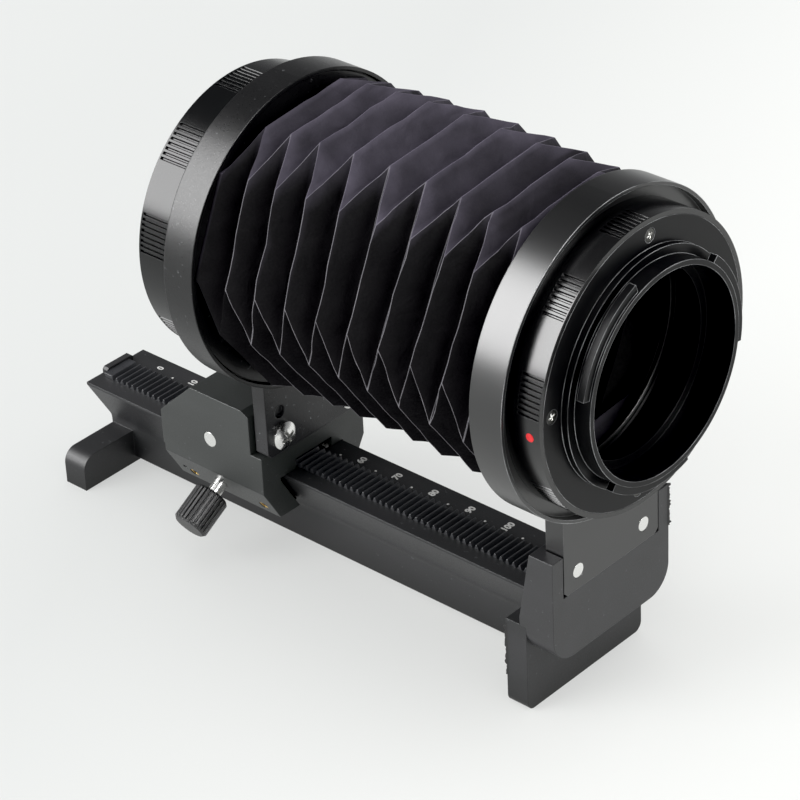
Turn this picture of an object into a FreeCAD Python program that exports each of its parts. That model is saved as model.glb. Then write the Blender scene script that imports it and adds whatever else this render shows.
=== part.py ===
import FreeCAD, Part
import math
import os
import re
import Sketcher

# Macro bellows unit. Millimetres, +Z up, floor at z = 0. The origin is the middle of the
# underside of the near foot. +X runs along the rail towards the camera, -Y is the side
# with the lock screw, and the optical axis lies in the plane y = 0.

V = FreeCAD.Vector
doc = FreeCAD.newDocument("macro_bellows")

# ---------------------------------------------------------------- driving dimensions
SIZES = {
    # optical axis above the floor
    "axis_height": 77.3,
    # rail: a wide flat top on a thin web, with dovetail flanks between them
    "rail_length": 133.1,
    "rail_top": 21.4,
    "rail_width": 17.3,
    "rail_edge": 0.6,
    "rail_bottom": 1.5,
    "web_width": 4.8,
    "web_round": 3.5,
    "dovetail_angle": 60,
    "far_foot_width": 35.0,
    "far_foot_height": 8.1,
    "far_foot_thick": 6.2,
    "far_foot_round": 3.2,
    "near_foot_width": 35.8,
    "near_foot_step": 0.9,
    "near_foot_thick": 5.2,
    "near_foot_round": 2.0,
    "stop_thick": 1.5,
    "stop_rise": 1.5,
    # rack strip let into the top of the rail
    "rack_width": 7.4,
    "rack_offset": 0.9,
    "rack_seat": 1.3,
    "rack_rise": 1.0,
    "rack_pitch": 1.62,
    "rack_lead": 3.0,
    "tooth_depth": 1.1,
    "tooth_angle": 20,
    "tooth_land": 0.34,
    # rear bracket and its two screws
    "bracket_width": 35.9,
    "bracket_lip": 7.0,
    "bracket_base": 8.6,
    "bracket_tip": 5.8,
    "bracket_drop": 7.6,
    "bracket_rise": 9.5,
    "bracket_round": 6.0,
    "bracket_screw_rise": 3.4,
    "bracket_screw_span": 24.0,
    "screw_radius": 1.25,
    "screw_head": 2.3,
    "screw_head_thick": 1.4,
    # the two standards: a ring on a flat neck plate
    "plate_width": 29.0,
    "plate_thick": 4.4,
    "lens_plate_thick": 3.4,
    "seat_rise": 7.2,
    "plate_set": 2.0,
    "plate_screw_rise": 4.2,
    "plate_screw_span": 20.2,
    "plate_hole_rise": 9.8,
    "plate_hole": 2.9,
    "small_head": 1.55,
    "large_head": 3.1,
    "large_head_thick": 2.0,
    "large_head_dome": 1.1,
    "large_head_recess": 1.2,
    "large_head_arm": 1.75,
    "large_head_turn": 22,
    "ring_width": 7.6,
    "ring_rim": 0.75,
    "ring_recess": 1.9,
    "ring_seat": 1.9,
    "grip_gap": 2.6,
    # bellows
    "bellows_length": 71.1,
    "bellows_pleats": 9,
    "bellows_margin": 0.4,
    "bellows_turn": 95.5,
    "ridge_arc": 39.0,
    "cloth": 1.0,
    "bellows_rise": 2.4,
    "bellows_tilt": 3.6,
    "frame_thick": 1.2,
    "frame_gap": 0.3,
    "frame_lip": 0.46,
    # grip rings that carry the bayonets
    "grip_rim": 1.0,
    "camera_grip_width": 6.2,
    "lens_grip_width": 10.3,
    "boss_length": 3.6,
    "rib_groove_depth": 0.45,
    "rib_groove_width": 0.64,
    "rib_step": 2.1,
    "rib_group_step": 36.5,
    "rib_group_start": 94.5,
    "index_angle": 183,
    "index_radius": 0.9,
    # bayonets
    "flange_land": 5.2,
    "flange_thick": 1.6,
    "flange_screw_turn": 86,
    "flange_screw_head": 1.35,
    "flange_screw_length": 4.2,
    "shoulder_radius": 24.2,
    "shoulder_height": 1.5,
    "spigot_step": 1.9,
    "spigot_wall": 1.1,
    "spigot_length": 5.2,
    "lug_step": 0.2,
    "lug_thick": 1.6,
    "lug_set": 0.5,
    "lug_arc": 58,
    "lug_turn": 139,
    "baffle_reach": 1.8,
    "baffle_thick": 0.9,
    "throat_gap": 0.25,
    "tab_reach": 1.7,
    "tab_thick": 1.5,
    "throat_depth": 6.0,
    "leaf_thick": 0.25,
    # lens release
    "release_turn": 340,
    "release_travel": 1.8,
    "release_width": 5.4,
    "release_thick": 2.4,
    "release_reach": 2.0,
    "lock_pin": 1.0,
    "lock_pin_reach": 1.2,
    "spring_radius": 0.95,
    # carriage
    "housing_rise": 17.2,
    "claw_wide": 13.5,
    "housing_far": 14.4,
    "housing_near": 11.8,
    "housing_slant_height": 8.9,
    "housing_slant_run": 9.5,
    "claw_reach": 3.1,
    "claw_drop": 1.65,
    "claw_depth": 9.35,
    "claw_shoulder": 3.4,
    "claw_shoulder_run": 4.9,
    "rack_relief": 2.4,
    "rack_relief_width": 11.0,
    "wall_thick": 1.0,
    "wall_inset": 6.4,
    "slide_gap": 0.2,
    "gib_thick": 0.9,
    "gib_length": 24.0,
    "gib_width": 9.0,
    "gib_low": 7.5,
    "grub_span": 20.4,
    "grub_drop": 7.25,
    "grub_radius": 1.2,
    "grub_set": 0.15,
    "grub_shift": -1.1,
    # focus drive
    "pinion_teeth": 23,
    "pinion_width": 6.2,
    "shaft_radius": 1.7,
    "running_gap": 0.08,
    "knob_radius": 8.5,
    "knob_width": 11.5,
    "knob_gap": 0.8,
    "knob_flutes": 30,
    "knob_flute_depth": 0.6,
    "knob_flute_width": 0.9,
    # lock screw
    "lock_drop": 5.45,
    "lock_shank": 1.55,
    "lock_neck": 3.2,
    "lock_knob_radius": 3.95,
    "lock_knob_width": 8.7,
    "lock_flutes": 24,
    "lock_flute_depth": 0.5,
    "lock_flute_width": 0.6,
}

# Values worked out from the driving dimensions, each bound to the sheet.
PLACES = {
    "rail_near": "near_foot_thick / 2",
    "rail_far": "rail_near - rail_length",
    "rail_half": "rail_width / 2",
    "near_foot_height": "rail_top - near_foot_step",
    "plate_seat": "rail_top + seat_rise",
    "plate_screw_height": "plate_seat + plate_screw_rise",
    "plate_hole_height": "plate_seat + plate_hole_rise",
    "bracket_bottom": "rail_top - bracket_drop",
    "bracket_top": "plate_seat + bracket_rise",
    "bracket_screw_height": "bracket_bottom + bracket_screw_rise",
    "web_half": "web_width / 2",
    "flank_top": "rail_top - rail_edge",
    "flank_foot": "flank_top - (rail_half - web_half) * tan(dovetail_angle)",
    "rack_left": "-rack_offset - rack_width / 2",
    "rack_right": "-rack_offset + rack_width / 2",
    "rack_top": "rail_top + rack_rise",
    "rack_floor": "rail_top - rack_seat",
    "rack_far": "rail_far + stop_thick",
    "rack_near": "bracket_back - 0.2",
    "tooth_spread": "tooth_depth * tan(tooth_angle)",
    "gap_floor": "rack_pitch - tooth_land - 2 * tooth_spread",
    "rack_gaps": "floor((rack_near - rack_far - rack_lead) / rack_pitch)",
    "bracket_front": "near_foot_thick / 2 + bracket_lip",
    "bracket_back": "bracket_front - bracket_base",
    "plate_back": "bracket_front - plate_thick",
    "camera_ring_front": "bracket_front + plate_set",
    "camera_ring_back": "camera_ring_front - ring_width",
    "lens_ring_front": "camera_ring_back - bellows_length",
    "lens_ring_back": "lens_ring_front - ring_width",
    "lens_plate_front": "lens_ring_front - plate_set",
    "lens_plate_back": "lens_plate_front - lens_plate_thick",
    "flange_radius": "shoulder_radius + flange_land",
    "flange_screw_circle": "shoulder_radius + flange_land / 2",
    "grip_radius": "flange_radius + grip_rim",
    "grip_bore": "shoulder_radius + 0.1",
    "recess_radius": "grip_radius + grip_gap",
    "ring_radius": "recess_radius + ring_rim",
    "ring_bore": "grip_radius - ring_seat",
    "frame_radius": "recess_radius - frame_gap",
    "bellows_radius": "frame_radius - bellows_margin",
    "frame_bore": "(bellows_radius - cloth) * cos(60 - ridge_arc / 2) - frame_lip",
    "spigot_radius": "shoulder_radius - spigot_step",
    "spigot_bore": "spigot_radius - spigot_wall",
    "lug_radius": "shoulder_radius - lug_step",
    "baffle_radius": "spigot_bore - baffle_reach",
    "throat_radius": "shoulder_radius + throat_gap",
    "tab_radius": "throat_radius - tab_reach",
    "pleat": "bellows_length / bellows_pleats",
    "camera_flange": "camera_ring_front + camera_grip_width",
    "lens_flange": "lens_ring_back - lens_grip_width",
    "housing_near_x": "lens_plate_back - wall_thick",
    "pinion_x": "housing_near_x - housing_near",
    "housing_far_x": "pinion_x - housing_far",
    "claw_near_x": "housing_near_x + claw_reach",
    "housing_top": "rail_top + housing_rise",
    "housing_width": "rail_width + claw_wide",
    "claw_side": "rail_top - claw_drop",
    "claw_foot": "rail_top - claw_depth",
    "wall_width": "housing_width - 2 * wall_inset",
    "wall_top": "housing_top - 1.2",
    "grub_height": "rail_top - grub_drop",
    "lock_height": "rail_top - lock_drop",
    "head_ball": "(large_head * large_head + large_head_dome * large_head_dome) / (2 * large_head_dome)",
    "claw_half": "housing_width / 2",
    "claw_foot_half": "claw_half - (claw_side - claw_foot) / tan(dovetail_angle)",
    "rack_line": "rack_top - tooth_depth / 2",
    "pinion_pitch": "pinion_teeth * rack_pitch / (2 * pi)",
    "pinion_height": "rack_line + pinion_pitch",
    "pinion_tip": "pinion_pitch + tooth_depth / 2 - 0.1",
    "pinion_root": "pinion_pitch - tooth_depth / 2 - 0.12",
    "lock_y": "claw_half - (claw_side - lock_height) / tan(dovetail_angle)",
    "grub_y": "claw_half - (claw_side - grub_height) / tan(dovetail_angle)",
    "flank_at_lock": "rail_half - (flank_top - lock_height) / tan(dovetail_angle)",
    "claw_wall": "(lock_y - flank_at_lock) * sin(dovetail_angle)",
    "gib_face": "claw_wall - slide_gap - gib_thick",
    "slope_turn": "180 - dovetail_angle",
    "slide_slack": "slide_gap / sin(dovetail_angle)",
    "gib_slack": "(2 * slide_gap + gib_thick) / sin(dovetail_angle)",
}

sheet = doc.addObject("Spreadsheet::Sheet", "Sizes")
for row, (name, value) in enumerate(SIZES.items(), start=1):
    sheet.set("A%d" % row, name)
    sheet.set("B%d" % row, str(value))
    sheet.setAlias("B%d" % row, name)
doc.recompute()

places = doc.addObject("App::VarSet", "Places")


def ref(expression):
    """An expression in plain names, with each name pointed at its cell or its worked-out value."""

    def point(match):
        word = match.group(0)
        if word in SIZES:
            return "Sizes." + word
        if word in PLACES:
            return "Places." + word
        return word

    return re.sub(r"[a-z_][a-z_0-9]*", point, str(expression))


for name in PLACES:
    places.addProperty("App::PropertyFloat", name)
for name, expression in PLACES.items():
    places.setExpression(name, ref(expression))
doc.recompute()


def size(name):
    """The present value of a cell or of a worked-out place."""
    return sheet.get(name) if name in SIZES else getattr(places, name)


# ---------------------------------------------------------------- building helpers
def bind(thing, **properties):
    """Bind properties to expressions. A double underscore in a name stands for a dot."""
    for name, expression in properties.items():
        thing.setExpression(name.replace("__", "."), ref(expression))
    return thing


def lift_to_axis(thing):
    """Put a piece drawn about its own x axis on the optical axis."""
    return bind(thing, Placement__Base__z="axis_height")


def new_body(name):
    return doc.addObject("PartDesign::Body", name)


def origin_part(body, role):
    return [f for f in body.Origin.OriginFeatures if f.Role == role][0]


def draw(body, name, role, loops, offset=None):
    """A sketch of closed polygons. Each corner is a pair of expressions bound to the sheet."""
    sketch = body.newObject("Sketcher::SketchObject", name)
    sketch.AttachmentSupport = [(origin_part(body, role), "")]
    sketch.MapMode = "FlatFace"
    if offset is not None:
        sketch.setExpression("AttachmentOffset.Base.z", ref(offset))
    for loop in loops:
        first = sketch.GeometryCount
        count = len(loop)
        ring = [2 * math.pi * k / count for k in range(count + 1)]
        for k in range(count):
            start = V(math.cos(ring[k]), math.sin(ring[k]), 0)
            end = V(math.cos(ring[k + 1]), math.sin(ring[k + 1]), 0)
            sketch.addGeometry(Part.LineSegment(start, end), False)
        for k in range(count):
            after = first + (k + 1) % count
            sketch.addConstraint(Sketcher.Constraint("Coincident", first + k, 2, after, 1))
        for k, (across, up) in enumerate(loop):
            for kind, expression in (("DistanceX", across), ("DistanceY", up)):
                corner = Sketcher.Constraint(kind, -1, 1, first + k, 1, 1.0)
                index = sketch.addConstraint(corner)
                label = "%s_%d" % (kind[-1].lower(), first + k)
                sketch.renameConstraint(index, label)
                sketch.setExpression("Constraints." + label, ref(expression))
    return sketch


def rectangle(left, right, low, high):
    return [(left, low), (right, low), (right, high), (left, high)]


def pad(body, name, sketch, length, both_ways=False, taper=None):
    feature = body.newObject("PartDesign::Pad", name)
    feature.Profile = sketch
    feature.SideType = "Symmetric" if both_ways else "One side"
    feature.setExpression("Length", ref(length))
    if taper:
        feature.setExpression("TaperAngle", ref(taper))
    return feature


def pocket(body, name, sketch, length, both_ways=False, other_way=False):
    feature = body.newObject("PartDesign::Pocket", name)
    feature.Profile = sketch
    feature.SideType = "Symmetric" if both_ways else "One side"
    feature.Reversed = other_way
    feature.setExpression("Length", ref(length))
    return feature


def revolve(body, name, sketch, axis="H_Axis"):
    feature = body.newObject("PartDesign::Revolution", name)
    feature.Profile = sketch
    feature.ReferenceAxis = (sketch, [axis])
    feature.Angle = 360
    return feature


def turned(name, outline):
    """A body turned about the optical axis. The outline is a list of (x, radius)."""
    body = new_body(name)
    sketch = draw(body, name + "_outline", "XZ_Plane", [outline])
    revolve(body, name + "_turning", sketch)
    return lift_to_axis(body)


def polar(body, name, feature, count, axis):
    pattern = body.newObject("PartDesign::PolarPattern", name)
    pattern.Originals = [feature]
    pattern.Axis = (origin_part(body, axis), [""])
    pattern.Angle = 360
    pattern.setExpression("Occurrences", ref(count))
    body.Tip = pattern
    return pattern


def box(name, x, y, z):
    """A box between two expressions along each axis."""
    solid = doc.addObject("Part::Box", name)
    bind(solid, Length="(%s) - (%s)" % (x[1], x[0]))
    bind(solid, Width="(%s) - (%s)" % (y[1], y[0]))
    bind(solid, Height="(%s) - (%s)" % (z[1], z[0]))
    return bind(solid, Placement__Base__x=x[0], Placement__Base__y=y[0], Placement__Base__z=z[0])


def rod(name, axis, start, end, radius, at=("0", "0")):
    """A cylinder along a row axis, from start to end, at the other two coordinates."""
    solid = doc.addObject("Part::Cylinder", name)
    turns = {"X": V(0, 1, 0), "Y": V(-1, 0, 0), "Z": V(0, 0, 1)}
    angle = 0 if axis == "Z" else 90
    solid.Placement = FreeCAD.Placement(V(0, 0, 0), FreeCAD.Rotation(turns[axis], angle))
    bind(solid, Radius=radius, Height="(%s) - (%s)" % (end, start))
    base = {"X": (start, at[0], at[1]), "Y": (at[0], start, at[1]), "Z": (at[0], at[1], start)}
    x, y, z = base[axis]
    return bind(solid, Placement__Base__x=x, Placement__Base__y=y, Placement__Base__z=z)


def join(name, pieces):
    joined = doc.addObject("Part::MultiFuse", name)
    joined.Shapes = pieces
    joined.Refine = True
    return joined


def cut(name, base, tools):
    result = doc.addObject("Part::Cut", name)
    result.Base = base
    result.Tool = tools[0] if len(tools) == 1 else join(name + "_tools", tools)
    result.Refine = True
    return result


def group(name, pieces):
    """Separate solids of one kind in one node."""
    compound = doc.addObject("Part::Compound", name)
    compound.Links = pieces
    return compound


def on_axis_circle(thing, radius, angle):
    """Move a piece to an angle on a circle about the optical axis, seen along -X."""
    bind(thing, Placement__Base__y="(%s) * cos(%s)" % (radius, angle))
    return bind(thing, Placement__Base__z="axis_height + (%s) * sin(%s)" % (radius, angle))


NODES = []


def node(thing, name):
    thing.Label = name
    NODES.append((name, thing))
    return thing


def prism(body, name, loop, start, end, remove=False):
    """Add or remove a block of constant Y-Z outline between two places along x."""
    sketch = draw(body, name + "_outline", "YZ_Plane", [loop], offset=start)
    length = "(%s) - (%s)" % (end, start)
    if remove:
        return pocket(body, name, sketch, length, other_way=True)
    return pad(body, name, sketch, length)


def slab(body, name, loop, width):
    """Add a block of constant X-Z outline, centred on the plane y = 0."""
    return pad(body, name, draw(body, name + "_outline", "XZ_Plane", [loop]), width, both_ways=True)


def edges_where(feature, test):
    return ["Edge%d" % (k + 1) for k, edge in enumerate(feature.Shape.Edges) if test(edge)]


def lies_along_x(edge):
    ends = [v.Point for v in edge.Vertexes]
    return len(ends) == 2 and abs(ends[0].y - ends[1].y) < 1e-6 and abs(ends[0].z - ends[1].z) < 1e-6


def dress(body, kind, name, base, test, amount):
    """Round or bevel the edges of a feature that pass a test."""
    doc.recompute()
    feature = body.newObject("PartDesign::" + kind, name)
    feature.Base = (base, edges_where(base, test))
    feature.setExpression("Radius" if kind == "Fillet" else "Size", ref(amount))
    body.Tip = feature
    return feature


def spin(thing, axis, angle):
    thing.Placement = FreeCAD.Placement(V(0, 0, 0), FreeCAD.Rotation(axis, 10))
    return bind(thing, Placement__Rotation__Angle=angle)


def sector(name, outline, arc, turn):
    """Part of a turning about the optical axis, its middle at an angle about that axis."""
    body = new_body(name)
    sketch = draw(body, name + "_outline", "XZ_Plane", [outline])
    feature = revolve(body, name + "_turning", sketch)
    feature.Midplane = True
    feature.setExpression("Angle", ref(arc))
    spin(body, V(1, 0, 0), "(%s) - 90" % turn)
    return lift_to_axis(body)


def radial_rod(name, x, turn, inner, outer, radius):
    solid = doc.addObject("Part::Cylinder", name)
    spin(solid, V(1, 0, 0), "(%s) - 90" % turn)
    bind(solid, Radius=radius, Height="(%s) - (%s)" % (outer, inner), Placement__Base__x=x)
    return on_axis_circle(solid, inner, turn)


def radial_box(name, x, turn, inner, outer, width):
    solid = doc.addObject("Part::Box", name)
    spin(solid, V(1, 0, 0), "(%s) - 90" % turn)
    bind(solid, Length="(%s) - (%s)" % (x[1], x[0]), Width=width)
    bind(solid, Height="(%s) - (%s)" % (outer, inner), Placement__Base__x=x[0])
    side = "(%s) / 2 * cos((%s) - 90)" % (width, turn)
    rise = "(%s) / 2 * sin((%s) - 90)" % (width, turn)
    bind(solid, Placement__Base__y="(%s) * cos(%s) - %s" % (inner, turn, side))
    return bind(solid, Placement__Base__z="axis_height + (%s) * sin(%s) - %s" % (inner, turn, rise))


def axial_rod(name, turn, circle, start, end, radius):
    """A cylinder along x at an angle on a circle about the optical axis."""
    y = "(%s) * cos(%s)" % (circle, turn)
    z = "axis_height + (%s) * sin(%s)" % (circle, turn)
    return rod(name, "X", start, end, radius, (y, z))


def slope_place(thing, x, out, slope_y, slope_z):
    """Stand a piece square to the slope of the lock side, a distance out from its surface."""
    spin(thing, V(1, 0, 0), "slope_turn")
    bind(thing, Placement__Base__x=x)
    bind(thing, Placement__Base__y="-(%s) - (%s) * sin(dovetail_angle)" % (slope_y, out))
    return bind(thing, Placement__Base__z="(%s) - (%s) * cos(dovetail_angle)" % (slope_z, out))


def slope_rod(name, x, start, end, radius, slope_y="lock_y", slope_z="lock_height"):
    solid = doc.addObject("Part::Cylinder", name)
    bind(solid, Radius=radius, Height="(%s) - (%s)" % (end, start))
    return slope_place(solid, x, start, slope_y, slope_z)


def cross(name, start, end, at, turn, arm, width):
    """The two arms of a cross recess, from start to end along x about a point."""
    arms = []
    for k in range(2):
        angle = "(%s + %d)" % (turn, 90 * k)
        arm_box = doc.addObject("Part::Box", "%s_arm_%d" % (name, k))
        bind(arm_box, Length="(%s) - (%s)" % (end, start), Width="2 * (%s)" % arm, Height=width)
        spin(arm_box, V(1, 0, 0), angle)
        bind(arm_box, Placement__Base__x=start)
        bind(arm_box, Placement__Base__y="(%s) - (%s) * cos%s + (%s) / 2 * sin%s" % (at[0], arm, angle, width, angle))
        bind(arm_box, Placement__Base__z="(%s) - (%s) * sin%s - (%s) / 2 * cos%s" % (at[1], arm, angle, width, angle))
        arms.append(arm_box)
    return arms


def domed_head(name, start, thick, at):
    """A large screw head standing along x from start, its face part of a ball."""
    rim = rod(name + "_rim", "X", start, "%s + %s" % (start, thick), "large_head", at)
    ball = doc.addObject("Part::Sphere", name + "_ball")
    bind(ball, Radius="head_ball", Placement__Base__x="%s + %s - head_ball" % (start, thick))
    bind(ball, Placement__Base__y=at[0], Placement__Base__z=at[1])
    head = doc.addObject("Part::MultiCommon", name)
    head.Shapes = [rim, ball]
    return head


def fluted_knob(name, outline, flutes, depth, width, radius, reach):
    """A knob turned about its own z axis from (radius, z) corners, with flutes along it."""
    body = new_body(name)
    revolve(body, name + "_turning", draw(body, name + "_outline", "XZ_Plane", [outline]), "V_Axis")
    groove = [
        ("-(%s) / 2" % width, "(%s) + 0.3" % radius),
        ("(%s) / 2" % width, "(%s) + 0.3" % radius),
        ("(%s) / 5" % width, "(%s) - (%s)" % (radius, depth)),
        ("-(%s) / 5" % width, "(%s) - (%s)" % (radius, depth)),
    ]
    sketch = draw(body, name + "_flute_outline", "XY_Plane", [groove])
    flute = pocket(body, name + "_flute", sketch, "2 * (%s)" % reach, both_ways=True)
    polar(body, name + "_flutes", flute, flutes, "Z_Axis")
    return body


# ---------------------------------------------------------------- rail and its two feet
rail = new_body("rail_body")
section = [
    ("-rail_half", "rail_top"), ("-rail_half", "flank_top"), ("-web_half", "flank_foot"),
    ("-web_half", "rail_bottom"), ("web_half", "rail_bottom"), ("web_half", "flank_foot"),
    ("rail_half", "flank_top"), ("rail_half", "rail_top"),
]
beam = prism(rail, "rail_section", section, "rail_far", "rail_near")
doc.recompute()
corner = size("flank_foot")
beam = dress(
    rail, "Fillet", "rail_web_round", beam,
    lambda e: lies_along_x(e) and abs(e.Vertexes[0].Point.z - corner) < 0.01, "web_round",
)
far_foot = rectangle("-far_foot_width / 2", "far_foot_width / 2", "0", "far_foot_height")
beam = prism(rail, "far_foot", far_foot, "rail_far + 0.2", "rail_far + 0.2 + far_foot_thick")
doc.recompute()
half, top = size("far_foot_width") / 2, size("far_foot_height")
beam = dress(
    rail, "Fillet", "far_foot_round", beam,
    lambda e: lies_along_x(e) and abs(abs(e.Vertexes[0].Point.y) - half) < 0.01
    and abs(e.Vertexes[0].Point.z - top) < 0.01, "far_foot_round",
)
near_foot = rectangle("-near_foot_width / 2", "near_foot_width / 2", "0", "near_foot_height")
beam = prism(rail, "near_foot", near_foot, "-near_foot_thick / 2", "near_foot_thick / 2")
doc.recompute()
half_near = size("near_foot_width") / 2
beam = dress(
    rail, "Fillet", "near_foot_round", beam,
    lambda e: lies_along_x(e) and abs(abs(e.Vertexes[0].Point.y) - half_near) < 0.01
    and abs(e.Vertexes[0].Point.z) < 0.01, "near_foot_round",
)
channel = rectangle("rack_left - 0.05", "rack_right + 0.05", "rack_floor", "rail_top + 1")
prism(rail, "rack_channel", channel, "rack_far", "rail_near", remove=True)
stop = [
    ("rack_left + 0.9", "rail_top - 1"), ("rack_right + 1.4", "rail_top - 1"),
    ("rack_right + 1.4", "rail_top + stop_rise - 0.5"), ("rack_right + 0.9", "rail_top + stop_rise"),
    ("rack_left + 1.4", "rail_top + stop_rise"), ("rack_left + 0.9", "rail_top + stop_rise - 0.5"),
]
prism(rail, "far_stop", stop, "rail_far", "rail_far + stop_thick")
bracket_holes = []
for side, sign in (("left", "-"), ("right", "")):
    at = ("%sbracket_screw_span / 2" % sign, "bracket_screw_height")
    bracket_holes.append(rod("foot_hole_" + side, "X", "-10", "10", "screw_radius", at))
    bracket_holes.append(rod(
        "foot_counterbore_" + side, "X", "-10", "-near_foot_thick / 2 + screw_head_thick + 0.1",
        "screw_head + 0.15", at,
    ))
node(cut("rail_drilled", rail, bracket_holes), "rail_beam")

# ---------------------------------------------------------------- rack strip
strip = new_body("rack_body")
bar = rectangle("rack_left", "rack_right", "rack_floor", "rack_top")
prism(strip, "rack_bar", bar, "rack_far", "rack_near")
gap_start = "rack_far + rack_lead"
tooth_gap = [
    (gap_start + " - gap_floor / 2 - tooth_spread", "rack_top"),
    (gap_start + " - gap_floor / 2 - tooth_spread", "rack_top + 0.2"),
    (gap_start + " + gap_floor / 2 + tooth_spread", "rack_top + 0.2"),
    (gap_start + " + gap_floor / 2 + tooth_spread", "rack_top"),
    (gap_start + " + gap_floor / 2", "rack_top - tooth_depth"),
    (gap_start + " - gap_floor / 2", "rack_top - tooth_depth"),
]
first_gap = pocket(
    strip, "rack_gap", draw(strip, "rack_gap_outline", "XZ_Plane", [tooth_gap]), "60", both_ways=True
)
gaps = strip.newObject("PartDesign::LinearPattern", "rack_gap_row")
gaps.Originals = [first_gap]
gaps.Direction = (origin_part(strip, "X_Axis"), [""])
gaps.setExpression("Length", ref("rack_pitch * (rack_gaps - 1)"))
gaps.setExpression("Occurrences", ref("rack_gaps"))
strip.Tip = gaps
node(strip, "rack_strip")

# ---------------------------------------------------------------- rear bracket
bracket = new_body("bracket_body")
side_view = [
    ("near_foot_thick / 2", "bracket_bottom"), ("bracket_front", "bracket_bottom"),
    ("bracket_front", "bracket_top"), ("bracket_front - bracket_tip", "bracket_top"),
    ("bracket_back", "rack_top + 0.1"), ("bracket_back", "near_foot_height"),
    ("near_foot_thick / 2", "near_foot_height"),
]
block = slab(bracket, "bracket_block", side_view, "bracket_width")
doc.recompute()
bracket_low, bracket_half = size("bracket_bottom"), size("bracket_width") / 2
block = dress(
    bracket, "Fillet", "bracket_round", block,
    lambda e: lies_along_x(e) and abs(abs(e.Vertexes[0].Point.y) - bracket_half) < 0.01
    and abs(e.Vertexes[0].Point.z - bracket_low) < 0.01, "bracket_round",
)
pocket_loop = rectangle("-rail_half - 0.1", "rail_half + 0.1", "near_foot_height - 1", "rack_top + 0.1")
prism(bracket, "rail_pocket", pocket_loop, "bracket_back - 1", "near_foot_thick / 2", remove=True)
notch_loop = rectangle(
    "-plate_width / 2 - 0.3", "plate_width / 2 + 0.3", "plate_seat", "bracket_top + 5"
)
prism(bracket, "plate_notch", notch_loop, "plate_back", "bracket_front + 5", remove=True)
threads = []
for side, sign in (("left", "-"), ("right", "")):
    at = ("%sbracket_screw_span / 2" % sign, "bracket_screw_height")
    threads.append(rod("bracket_thread_" + side, "X", "0", "bracket_front - 1.8", "screw_radius", at))
    at = ("%splate_screw_span / 2" % sign, "plate_screw_height")
    threads.append(rod("plate_thread_" + side, "X", "0", "bracket_front", "screw_radius", at))
node(cut("bracket_drilled", bracket, threads), "rear_bracket")

for side, sign in (("left", "-"), ("right", "")):
    at = ("%sbracket_screw_span / 2" % sign, "bracket_screw_height")
    head_end = "-near_foot_thick / 2 + screw_head_thick + 0.1"
    head = rod("foot_head_" + side, "X", "-near_foot_thick / 2 + 0.1", head_end, "screw_head", at)
    shank = rod("foot_shank_" + side, "X", head_end, "bracket_front - 2", "screw_radius", at)
    socket = rod("foot_socket_" + side, "X", "-near_foot_thick / 2", "-near_foot_thick / 2 + 0.9", "1", at)
    whole = join("foot_screw_solid_" + side, [head, shank])
    node(cut("foot_screw_" + side, whole, [socket]), "bracket_screw_" + side)


# ---------------------------------------------------------------- the two standards
def standard(tag, front, back, plate_front, thick, head_radius):
    """A ring with a recess in both faces, on a flat neck plate; returns the pieces and the plate."""
    ring = turned(tag + "_ring", [
        (back, "recess_radius"), (back, "ring_radius"), (front, "ring_radius"),
        (front, "recess_radius"), (front + " - ring_recess", "recess_radius"),
        (front + " - ring_recess", "ring_bore"), (back + " + ring_recess", "ring_bore"),
        (back + " + ring_recess", "recess_radius"),
    ])
    plate_rear = plate_front + " - " + thick
    plate = new_body(tag + "_plate")
    prism(plate, tag + "_plate_block", [
        ("-plate_width / 2 + 1", "plate_seat"), ("plate_width / 2 - 1", "plate_seat"),
        ("plate_width / 2", "plate_seat + 1"), ("plate_width / 2", "axis_height - ring_radius / 2"),
        ("-plate_width / 2", "axis_height - ring_radius / 2"), ("-plate_width / 2", "plate_seat + 1"),
    ], plate_rear, plate_front)
    clear = rod(tag + "_plate_clear", "X", plate_rear + " - 5", plate_front + " + 5",
                "ring_radius - ring_rim / 2", ("0", "axis_height"))
    necked = cut(tag + "_neck", plate, [clear])
    holes = []
    for side, sign in (("left", "-"), ("right", "")):
        at = ("%splate_screw_span / 2" % sign, "plate_screw_height")
        holes.append(rod(tag + "_plate_hole_" + side, "X", plate_rear + " - 5", plate_front + " + 5",
                         "screw_radius + 0.1", at))
        if head_radius:
            holes.append(rod(tag + "_plate_sink_" + side, "X", plate_front + " - 1.5",
                             plate_front + " + 5", head_radius + " + 0.1", at))
    middle = front + " - ring_width / 2"
    holes.append(radial_rod(tag + "_clamp_hole", middle, "300", "ring_bore - 2", "ring_radius + 1", "0.8"))
    return join(tag + "_whole", [ring, necked]), holes


solid, holes = standard("camera", "camera_ring_front", "camera_ring_back", "bracket_front", "plate_thick",
                        "small_head")
node(cut("camera_standard_cut", solid, holes), "camera_standard")
solid, holes = standard("lens", "lens_ring_front", "lens_ring_back", "lens_plate_front", "lens_plate_thick", None)
holes.append(rod("witness_hole", "X", "lens_plate_front - 0.8", "lens_plate_front + 5", "plate_hole / 2",
                 ("-plate_screw_span / 2 - 0.3", "plate_hole_height")))
node(cut("lens_standard_cut", solid, holes), "lens_standard")

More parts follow.
